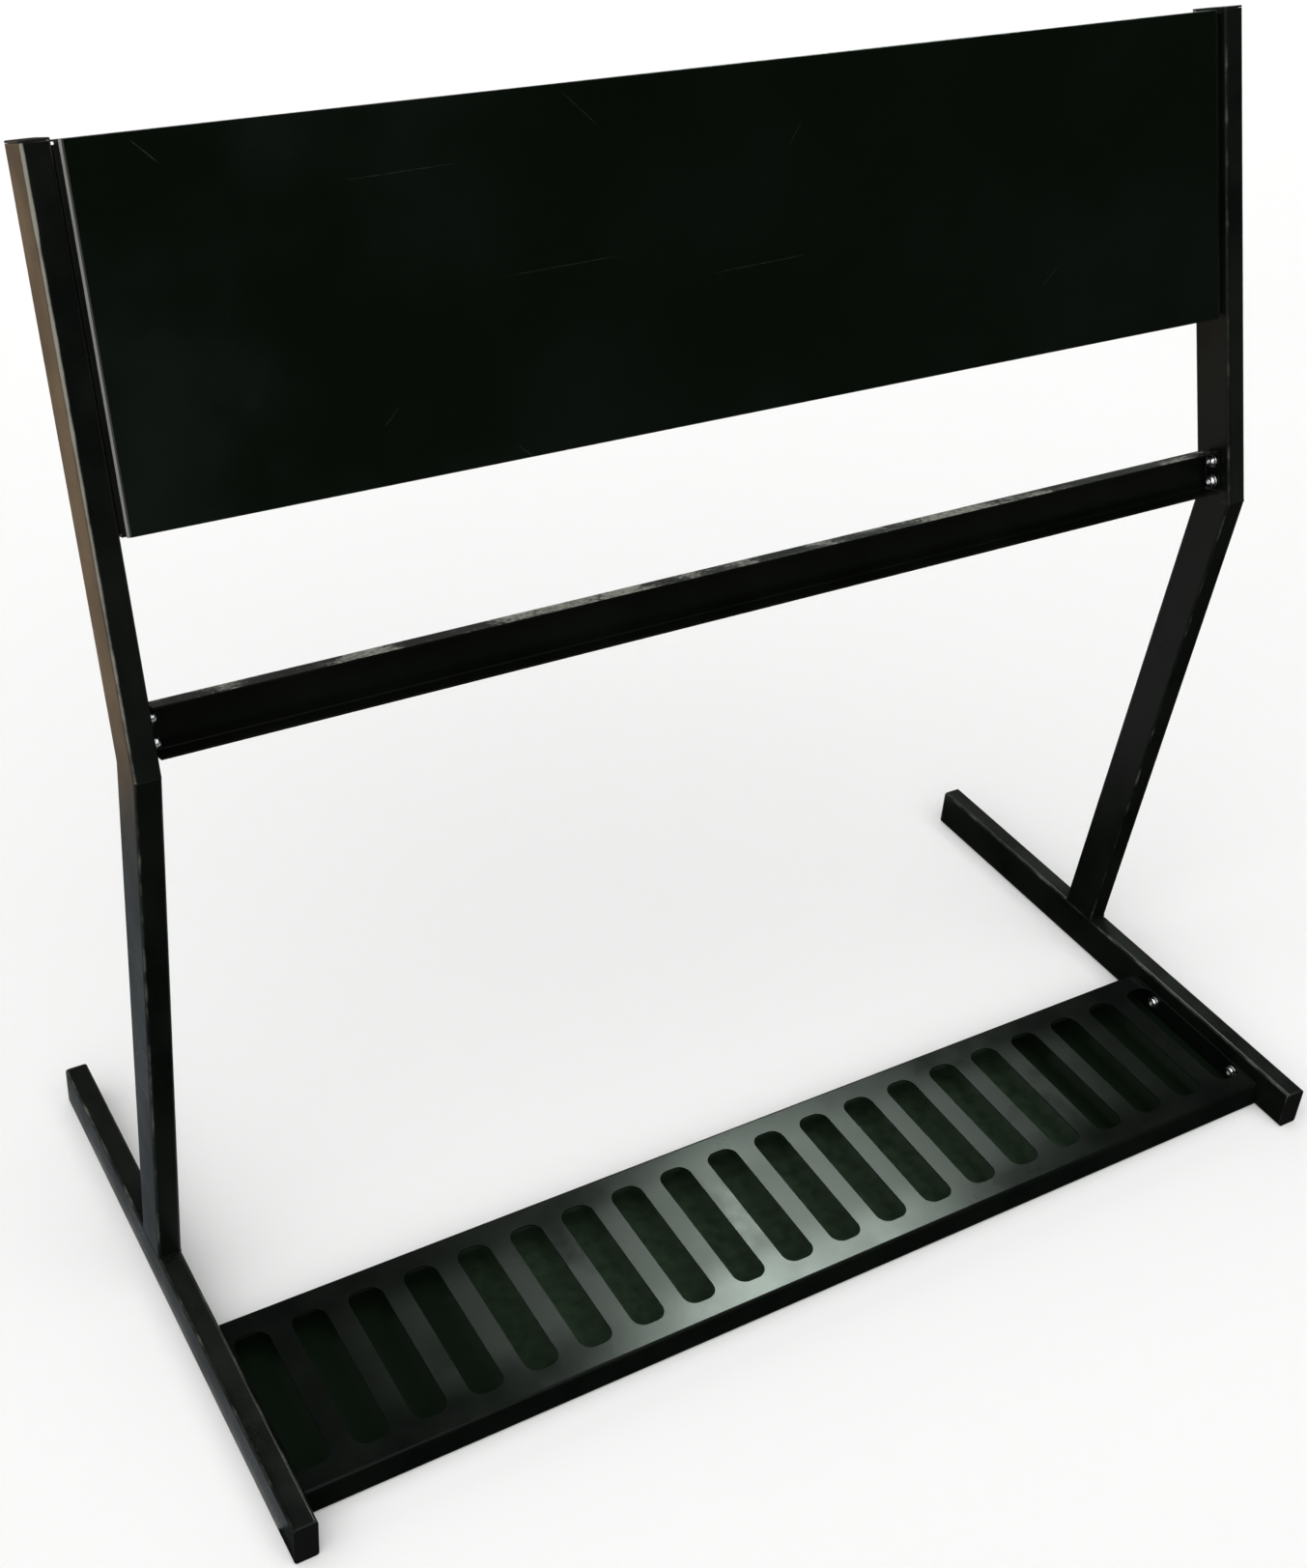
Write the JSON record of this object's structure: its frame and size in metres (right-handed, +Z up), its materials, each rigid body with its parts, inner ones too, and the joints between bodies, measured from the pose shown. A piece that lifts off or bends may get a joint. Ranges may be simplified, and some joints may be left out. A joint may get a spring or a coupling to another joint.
{
  "type": "racket display stand",
  "caption": "Floor stand for rackets: bent side frames of flat tube carry a slotted tray for the heads, a cross bar that the handles lean on and a plain header panel.",
  "frame": {"origin": "on the floor in the middle of the footprint of the two feet", "axes": "+X to the right as seen from the front, -Y to the front where the rackets stand, +Z up"},
  "size_m": [1.03, 0.54, 0.959],
  "materials": {
    "frame_paint": "black semi-gloss powder coat",
    "tray_paint": "black semi-gloss powder coat, a little glossier",
    "bar_paint": "black semi-gloss powder coat",
    "header_paint": "black semi-gloss powder coat",
    "board": "black gloss board with pale bevelled ends",
    "cap_plastic": "black moulded plastic",
    "bolt_zinc": "bright zinc plate",
    "nut_zinc": "zinc-plated steel"
  },
  "bodies": {
    "root": {"left_foot": "frame_paint", "right_foot": "frame_paint", "left_leg": "frame_paint", "right_leg": "frame_paint", "left_post": "frame_paint", "right_post": "frame_paint", "left_foot_front_cap": "cap_plastic", "right_foot_front_cap": "cap_plastic", "left_foot_rear_cap": "cap_plastic", "right_foot_rear_cap": "cap_plastic", "left_post_cap": "cap_plastic", "right_post_cap": "cap_plastic", "base_tray": "tray_paint", "crossbar": "bar_paint", "header_back": "header_paint", "header_board": "board", "left_tray_front_bolt": "bolt_zinc", "left_tray_front_washer": "bolt_zinc", "left_tray_front_rivet_nut": "nut_zinc", "left_tray_rear_bolt": "bolt_zinc", "left_tray_rear_washer": "bolt_zinc", "left_tray_rear_rivet_nut": "nut_zinc", "left_bar_upper_bolt": "bolt_zinc", "left_bar_upper_washer": "bolt_zinc", "left_bar_upper_rivet_nut": "nut_zinc", "left_bar_lower_bolt": "bolt_zinc", "left_bar_lower_washer": "bolt_zinc", "left_bar_lower_rivet_nut": "nut_zinc", "left_header_upper_bolt": "bolt_zinc", "left_header_upper_washer": "bolt_zinc", "left_header_upper_rivet_nut": "nut_zinc", "left_header_lower_bolt": "bolt_zinc", "left_header_lower_washer": "bolt_zinc", "left_header_lower_rivet_nut": "nut_zinc", "right_tray_front_bolt": "bolt_zinc", "right_tray_front_washer": "bolt_zinc", "right_tray_front_rivet_nut": "nut_zinc", "right_tray_rear_bolt": "bolt_zinc", "right_tray_rear_washer": "bolt_zinc", "right_tray_rear_rivet_nut": "nut_zinc", "right_bar_upper_bolt": "bolt_zinc", "right_bar_upper_washer": "bolt_zinc", "right_bar_upper_rivet_nut": "nut_zinc", "right_bar_lower_bolt": "bolt_zinc", "right_bar_lower_washer": "bolt_zinc", "right_bar_lower_rivet_nut": "nut_zinc", "right_header_upper_bolt": "bolt_zinc", "right_header_upper_washer": "bolt_zinc", "right_header_upper_rivet_nut": "nut_zinc", "right_header_lower_bolt": "bolt_zinc", "right_header_lower_washer": "bolt_zinc", "right_header_lower_rivet_nut": "nut_zinc"}
  },
  "joints": []
}
